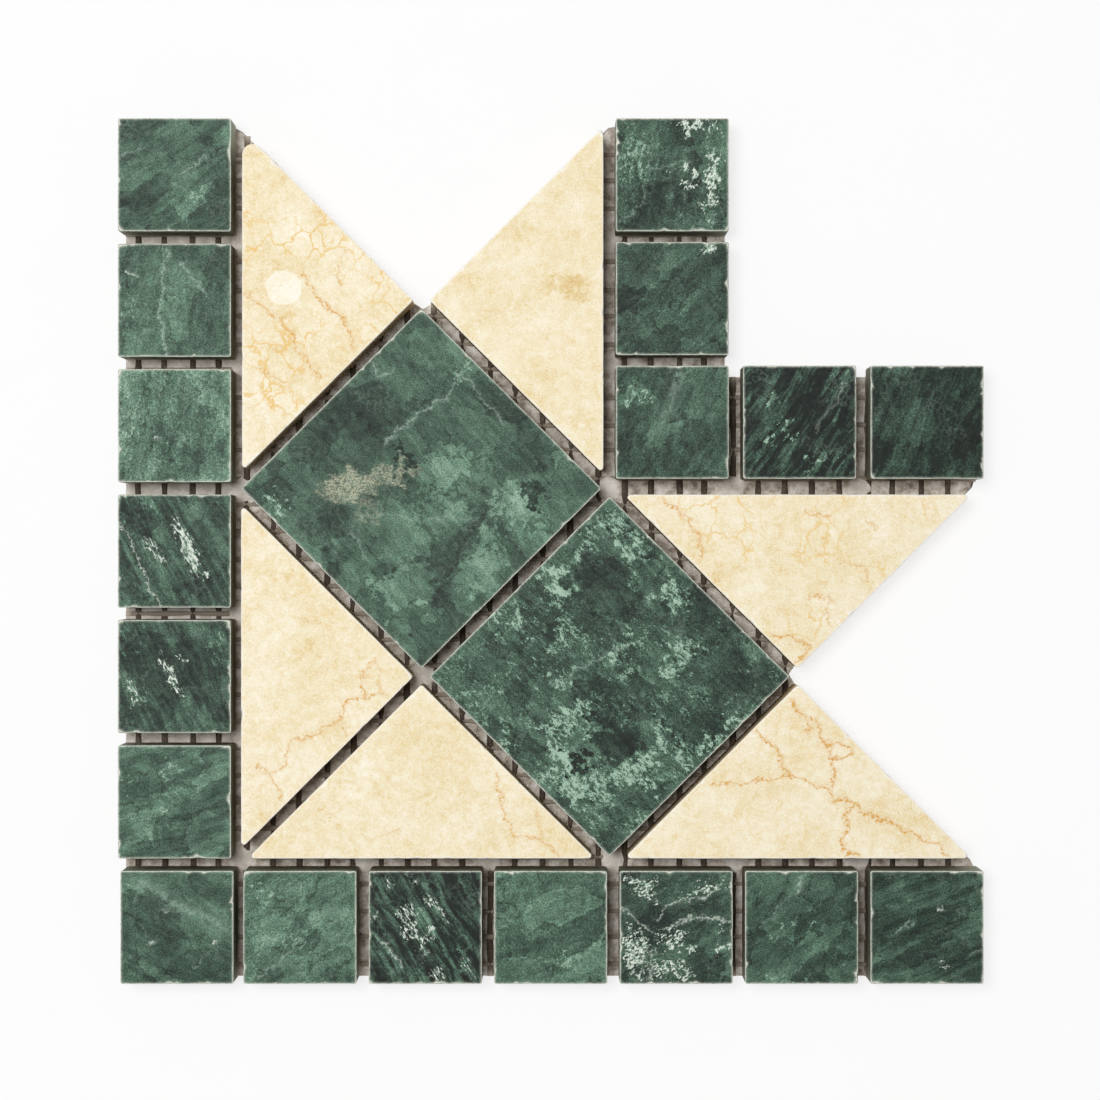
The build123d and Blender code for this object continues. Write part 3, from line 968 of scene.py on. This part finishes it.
def make_stone(node, seed, material, radius):
    """One stone: sawn walls, worn and chipped arris, flat face, a little inside its CAD solid."""
    low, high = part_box(node)
    base, top = low.z / MM, high.z / MM
    corners = sharp_corners(convex_corners(node))
    if node in LEFT_TRIMS:
        corners = trimmed(corners, LEFT_TRIMS[node])
    highest = max(c.y for c in corners)
    radii = [WORN_TIPS.get(node, radius) if c.y == highest else radius for c in corners]
    sides = [(corners[(i + 1) % len(corners)] - c).length for i, c in enumerate(corners)]
    steps = [max(2, round(side / EDGE_STEP)) for side in sides]
    outer = rounded(corners, radii, steps)
    inner = rounded(inset_corners(corners, DEEPEST), [0.06] * len(corners), steps)
    ways = [(b - a) / DEEPEST for a, b in zip(outer, inner)]
    worn = chip_sizes(outer, seed)
    wander = [0.04 + 0.04 * noise.noise(Vector((p.x * 0.22, p.y * 0.22, seed + 9))) for p in outer]

    # Rings from the back up: inset by the arris, fixed inset, height, drop by the arris, mark (share of the
    # arris colour, wear with a painted highlight)
    profile = [
        (0.0, 0.2, base, 0.0, 0.0),
        (0.0, 0.0, base + 0.25, 0.0, 0.0),
        (0.0, 0.0, top - 0.5, 1.0, 0.0),
        (0.0, 0.0, top, 1.0, 0.2),
        (0.3, 0.0, top, 0.35, 1.0),
        (0.62, 0.0, top, 0.1, 1.0),
        (1.0, 0.0, top, 0.0, 0.25),
        (1.0, 0.35, top, 0.0, 0.0),
    ]
    rings = []
    for share, fixed, height, drop, mark in profile:
        ring = []
        for p, way, size, stray in zip(outer, ways, worn, wander):
            spot = p + way * (stray + share * size + fixed)
            ring.append((spot.x, spot.y, height - drop * size, mark))
        rings.append(ring)
    stone = Shape("arris", smooth_caps=False)
    stone.loft(rings)
    stone.make(node + "_stone", [material], [node])


def middle_of(node):
    """The middle of a stone's footprint, in mm."""
    low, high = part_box(node)
    return ((low.x + high.x) / 2 / MM, (low.y + high.y) / 2 / MM)


seed = 0
for slot, looks, marble, radius in (
    ("green_marble", GREEN_LOOKS, green_marble, 0.45),
    ("cream_marble", CREAM_LOOKS, cream_marble, 0.6),
):
    for node, look in looks.items():
        seed += 1
        material = marble(slot + "_" + node, middle_of(node), seed, look)
        make_stone(node, seed, material, radius)


# Backing net


def backing_material(name, coarse, fine, stops, mark_share, mark_colour, rough, specular):
    """Net or glue: a tone from a coarse and a fine noise, paler where the piece is marked; in the left
    column's films that paleness is painted light.
    """
    material, nodes = new_material(name)
    broad = nodes.noise(nodes.place(), *coarse[1:])
    close = nodes.noise(nodes.place(), *fine[1:])
    tone = nodes.plus(nodes.times(broad, coarse[0]), nodes.times(close, fine[0]))
    marked = nodes.times(nodes.attribute("paleness_and_painted_light"), mark_share)
    colour = nodes.mix(marked, nodes.ramp(tone, stops), mark_colour)
    driven, least, greatest = rough
    worn = nodes.smooth(close if driven == "fine" else broad, 0.3, 0.7, least, greatest)
    nodes.surface(colour, worn, close, strength=0.5, depth=0.1, specular=specular)
    return material


# Glass yarn, dark brown-grey and fibrous. A noise is its share, scale, detail and roughness.
YARN = backing_material(
    "backing_net",
    coarse=(0.4, 0.25),
    fine=(0.6, 2.2, 4.0, 0.7),
    stops=[(0.3, srgb(52, 43, 36)), (0.5, srgb(84, 72, 61)), (0.72, srgb(134, 122, 108))],
    mark_share=0.85,
    mark_colour=srgb(214, 200, 182),
    rough=("fine", 0.6, 0.9),
    specular=0.3,
)
# Dried glue, pale grey-beige, dusty and pitted
DRIED = backing_material(
    "backing_glue",
    coarse=(0.7, 0.42, 3.0, 0.6),
    fine=(0.3, 2.4, 4.0, 0.75),
    stops=[(0.36, srgb(134, 120, 106)), (0.5, srgb(202, 192, 180)), (0.64, srgb(238, 234, 228))],
    mark_share=0.5,
    mark_colour=srgb(224, 218, 210),
    rough=("coarse", 0.65, 0.9),
    specular=0.25,
)
BACKING = [YARN, DRIED]
YARN_KIND, GLUE_KIND = 0, 1  # places in that list

# Small stones' spacing, read from the CAD: every joint line lies a whole number of steps from the first
STEP = (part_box("left_square_2")[0].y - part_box("left_square_1")[0].y) / MM
JOINT = (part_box("left_square_2")[0].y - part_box("left_square_1")[1].y) / MM
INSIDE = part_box("mesh_corner")[1].x / MM  # inner side of both arms
NET_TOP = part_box("mesh_corner")[1].z / MM

# Each arm ends in a notch. Its middle is given across the arm, its tip along the arm.
TOP_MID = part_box("mesh_top_outer")[1].x / MM
TOP_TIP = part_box("green_diamond_upper")[1].y / MM
RIGHT_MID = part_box("mesh_right_outer")[1].y / MM
RIGHT_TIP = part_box("green_diamond_lower")[1].x / MM
BAND_SHIFT = TOP_MID - RIGHT_MID  # how far the diamonds and triangles lie to the right of the even lattice

EDGE_GAP = 0.25  # yarns and glue stay this far inside the sheet's outline, in mm
NET_STEP = 5.55  # spacing of the yarns
WARP_FIRST = -84.8  # place of the first upright yarn
WEFT_FIRST = -84.9  # place of the first yarn across
LEAST_YARN = 4  # shorter lengths are left out
YARN_SIDES = 6
YARN_STEP = 1.35  # mm between rings along a yarn
YARN_HEIGHT = 0.14  # half of a yarn's thickness
FRAY = 1.8  # length of a frayed end
GLUE_HALF = JOINT / 2 + 1.6  # half width of the glue film along a joint
GLUE_BACK = 0.3  # the film stops this far inside the ends of a joint
GLUE_STEP = 1.2  # mm between rings along a film
LEFT_FILM_PAINTED_LIGHT = 0.9  # how much paler the films in the left column are painted: painted light for the stronger light along them
DROP_SIDES = 20


def line(k):
    """Middle of the k-th straight joint from the outer corner, in mm."""
    return k * STEP - JOINT / 2 - HALF


def between(first, second, axis):
    """The middle of the joint between two stones that lie side by side along an axis, in mm."""
    return (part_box(first)[1][axis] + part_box(second)[0][axis]) / 2 / MM


INNER_X = between("cream_triangle_top_inner", "inner_top_square_1", 0)
INNER_Y = between("cream_triangle_right_inner", "inner_right_square_1", 1)
INNER_CUTS_X = [
    between("inner_corner_square", "inner_right_square_1", 0),
    between("inner_right_square_1", "inner_right_square_2", 0),
]
INNER_CUTS_Y = [
    between("inner_corner_square", "inner_top_square_1", 1),
    between("inner_top_square_1", "inner_top_square_2", 1),
]


def spans(across, upright):
    """Where a yarn at this place across the sheet runs, as lengths from start to end, in mm."""
    own, other = ((TOP_MID, TOP_TIP), (RIGHT_MID, RIGHT_TIP))
    if not upright:
        own, other = other, own
    if across < INSIDE:
        mid, tip = own
        return [(-HALF, min(HALF, tip + abs(across - mid)))]
    mid, tip = other
    cut = across - tip
    if cut < 0:
        return [(-HALF, INSIDE)]
    return [(-HALF, mid - cut), (mid + cut, INSIDE)]


def kept_inside(x, y):
    """The spot itself, or the one nearest to it that lies inside the sheet's outline."""
    edge = HALF - EDGE_GAP
    x = max(-edge, min(edge, x))
    y = max(-edge, min(edge, y))
    corner = INSIDE - EDGE_GAP
    if x > corner and y > corner:
        x, y = (corner, y) if x < y else (x, corner)
    if y > corner:
        y = min(y, TOP_TIP + abs(x - TOP_MID) - EDGE_GAP)
    if x > corner:
        x = min(x, RIGHT_TIP + abs(y - RIGHT_MID) - EDGE_GAP)
    return x, y


def joint_lines():
    """Every joint as a start and an end, in mm."""
    outer = line(1)
    lines = [((-HALF, outer), (HALF, outer)), ((outer, -HALF), (outer, HALF))]
    for k in range(2, 7):
        lines.append(((-HALF, line(k)), (outer, line(k))))
        lines.append(((line(k), -HALF), (line(k), outer)))
    lines.append(((INNER_X, INNER_Y), (INNER_X, HALF)))
    lines.append(((INNER_X, INNER_Y), (HALF, INNER_Y)))
    lines += [((x, INNER_Y), (x, INSIDE)) for x in INNER_CUTS_X]
    lines += [((INNER_X, y), (INSIDE, y)) for y in INNER_CUTS_Y]
    lines.append(((outer + BAND_SHIFT, outer), (RIGHT_MID + BAND_SHIFT, RIGHT_MID)))
    reach = 1.5 * STEP
    # The lower diamond's first side is the joint that both share, and is already there
    for diamond, first in (("green_diamond_upper", 0), ("green_diamond_lower", 1)):
        x, y = middle_of(diamond)
        tips = [(x - reach, y), (x, y - reach), (x + reach, y), (x, y + reach)]
        lines += [(tips[i - 1], tips[i]) for i in range(first, 4)]
    return lines


def crossings():
    """Places where joints meet, where the glue has gathered."""
    spots = [(line(1), line(k)) for k in range(1, 7)] + [(line(k), line(1)) for k in range(2, 7)]
    spots += [(INNER_X, y) for y in (INNER_Y, *INNER_CUTS_Y)] + [(x, INNER_Y) for x in INNER_CUTS_X]
    return spots + [(RIGHT_MID + BAND_SHIFT, RIGHT_MID)]


def yarn(across, start, end, half_width, pale, upright, seed):
    """Rings along one flat yarn. Upright yarns run along Y, the others along X."""
    count = max(2, round((end - start) / YARN_STEP))
    first_cross = WEFT_FIRST if upright else WARP_FIRST
    rings = []
    for k in range(count + 1):
        along = start + (end - start) * k / count
        sway = 0.22 * noise.noise(Vector((along * 0.12, seed * 3.7, 0.5)))
        width = half_width * (1 + 0.25 * noise.noise(Vector((along * 0.35, seed * 5.1, 2.5))))
        wave = 0.08 * math.cos(math.pi * (along - first_cross) / NET_STEP)
        height = NET_TOP / 2 + (wave if upright else -wave)
        tip = min(k, count - k) / count * (end - start)
        mark = max(pale, 1 - tip / FRAY)
        ring = []
        for side in range(YARN_SIDES):
            angle = 2 * math.pi * (side + 0.5) / YARN_SIDES
            out = across + sway + width * math.cos(angle)
            up = height + YARN_HEIGHT * math.sin(angle)
            ring.append((out, along, up, mark) if upright else (along, out, up, mark))
        rings.append(ring)
    return rings


def glue_film(start, end, number):
    """Rings along a thin film of glue in one joint, with ragged sides that lie under the stones.

    Each film has its own heights, so that none lies in another's plane where they cross.
    """
    bottom, top = 0.05 + 0.002 * number, 0.25 + 0.0015 * number
    section = ((-1, bottom), (-0.8, top - 0.05), (0, top), (0.8, top - 0.05), (1, bottom))
    # The films in the left column are painted paler: painted light for the stronger light that runs along
    # those joints
    pale = LEFT_FILM_PAINTED_LIGHT if start[0] == -HALF and end[0] < 0 else 0.0
    start, end = Vector(start), Vector(end)
    way = (end - start).normalized()
    aside = Vector((-way.y, way.x))
    length = (end - start).length - 2 * GLUE_BACK
    count = max(2, round(length / GLUE_STEP))
    rings = []
    for k in range(count + 1):
        spot = start + way * (GLUE_BACK + length * k / count)
        ring = []
        for side, height in section:
            rag = 1 + 0.3 * noise.noise(Vector((k * 0.5, side, number)))
            swell = 0.03 * noise.noise(Vector((spot.x * 0.6, spot.y * 0.6, side)))
            x, y = kept_inside(*(spot + aside * (side * GLUE_HALF * rag)))
            ring.append((x, y, height + (swell if height > bottom else 0), pale))
        rings.append(ring)
    return rings


def glue_drop(x, y, seed):
    """Rings of a flat drop of glue where joints meet, paler on its top."""
    rings = []
    for radius, height, pale in ((2.9, 0.03, 0.3), (2.6, 0.32, 0.3), (2.0, 0.46, 1.0), (1.0, 0.49, 1.0)):
        ring = []
        for k in range(DROP_SIDES):
            cosine = math.cos(2 * math.pi * k / DROP_SIDES)
            sine = math.sin(2 * math.pi * k / DROP_SIDES)
            far = radius * (1 + 0.25 * noise.noise(Vector((cosine * 1.6, sine * 1.6, seed))))
            ring.append((*kept_inside(x + far * cosine, y + far * sine), height, pale))
        rings.append(ring)
    return rings


def weave_net():
    """The whole sheet: upright yarns, paler and narrower ones across them, and the glue in the joints."""
    net = Shape("paleness_and_painted_light", smooth_caps=True)
    for upright, first, half_width, pale in ((True, WARP_FIRST, 0.7, 0.0), (False, WEFT_FIRST, 0.55, 0.5)):
        number = 0
        while first + number * NET_STEP < HALF - 1.2:
            across = first + number * NET_STEP + RNG.uniform(-0.3, 0.3)
            number += 1
            for start, end in spans(across, upright):
                start, end = start + EDGE_GAP, end - EDGE_GAP
                if end - start > LEAST_YARN:
                    rings = yarn(across, start, end, half_width, pale, upright, number + 40 * upright)
                    net.loft(rings, YARN_KIND, flip=upright)
    for number, (start, end) in enumerate(joint_lines()):
        net.loft(glue_film(start, end, number), GLUE_KIND, flip=True)
    for number, (x, y) in enumerate(crossings()):
        net.loft(glue_drop(x, y, number + 0.5), GLUE_KIND)
    replaced = [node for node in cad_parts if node.startswith("mesh_")]
    net.make("backing_net", BACKING, replaced)


weave_net()


# Floor, light and camera

FLOOR_REACH = 3.0
FLOOR_GLOW = 0.75  # share of plain white in what the camera sees of the floor
VIEW_WIDTH = 0.2227  # width of the picture at the stones' faces
CAMERA_HEIGHT = 0.6
SENSOR = 36


def plain_floor():
    """A white floor that keeps the tile's soft shadow."""
    material, nodes = new_material("floor_white")
    rays = nodes.add("LightPath", {}).outputs
    seen = nodes.most(rays["Is Camera Ray"], rays["Is Glossy Ray"])
    seen = nodes.most(seen, rays["Is Transmission Ray"])
    speckle = nodes.noise(nodes.add("TexCoord", {}).outputs["Object"], 60.0)
    white = nodes.mix(speckle, (0.9, 0.9, 0.9, 1), (0.94, 0.94, 0.94, 1))
    matt = nodes.add("BsdfDiffuse", {"Color": white}).outputs[0]
    glow = nodes.add("Emission", {"Color": (1, 1, 1, 1), "Strength": 1.0}).outputs[0]
    nodes.output(nodes.add("MixShader", {0: nodes.times(seen, FLOOR_GLOW), 1: matt, 2: glow}))
    mesh = bpy.data.meshes.new("floor")
    corners = [(x * FLOOR_REACH, y * FLOOR_REACH, 0) for x, y in ((-1, -1), (1, -1), (1, 1), (-1, 1))]
    mesh.from_pydata(corners, [], [(0, 1, 2, 3)])
    mesh.materials.append(material)
    floor = bpy.data.objects.new("floor", mesh)
    floor.location.z = -0.05 * MM
    bpy.context.scene.collection.objects.link(floor)


plain_floor()

scene = bpy.context.scene
scene.view_settings.view_transform = "Standard"
scene.world = scene.world or bpy.data.worlds.new("studio")
scene.world.use_nodes = True
sky = scene.world.node_tree.nodes["Background"]
sky.inputs["Color"].default_value = (1, 1, 1, 1)
sky.inputs["Strength"].default_value = 0.4

key = bpy.data.lights.new("key", "AREA")
key.shape = "DISK"
key.size = 0.36
key.energy = 6.7
key_lamp = bpy.data.objects.new("key", key)
key_lamp.location = (-0.2, 0.13, 1.0)
key_lamp.rotation_euler = (-key_lamp.location).to_track_quat("-Z", "Y").to_euler()
scene.collection.objects.link(key_lamp)

camera = bpy.data.cameras.new("camera")
camera.sensor_width = SENSOR
camera.lens = SENSOR * (CAMERA_HEIGHT - CAD_HIGH.z) / VIEW_WIDTH
eye = bpy.data.objects.new("camera", camera)
eye.location = (-0.15 * MM, 0.22 * MM, CAMERA_HEIGHT)
scene.collection.objects.link(eye)
scene.camera = eye
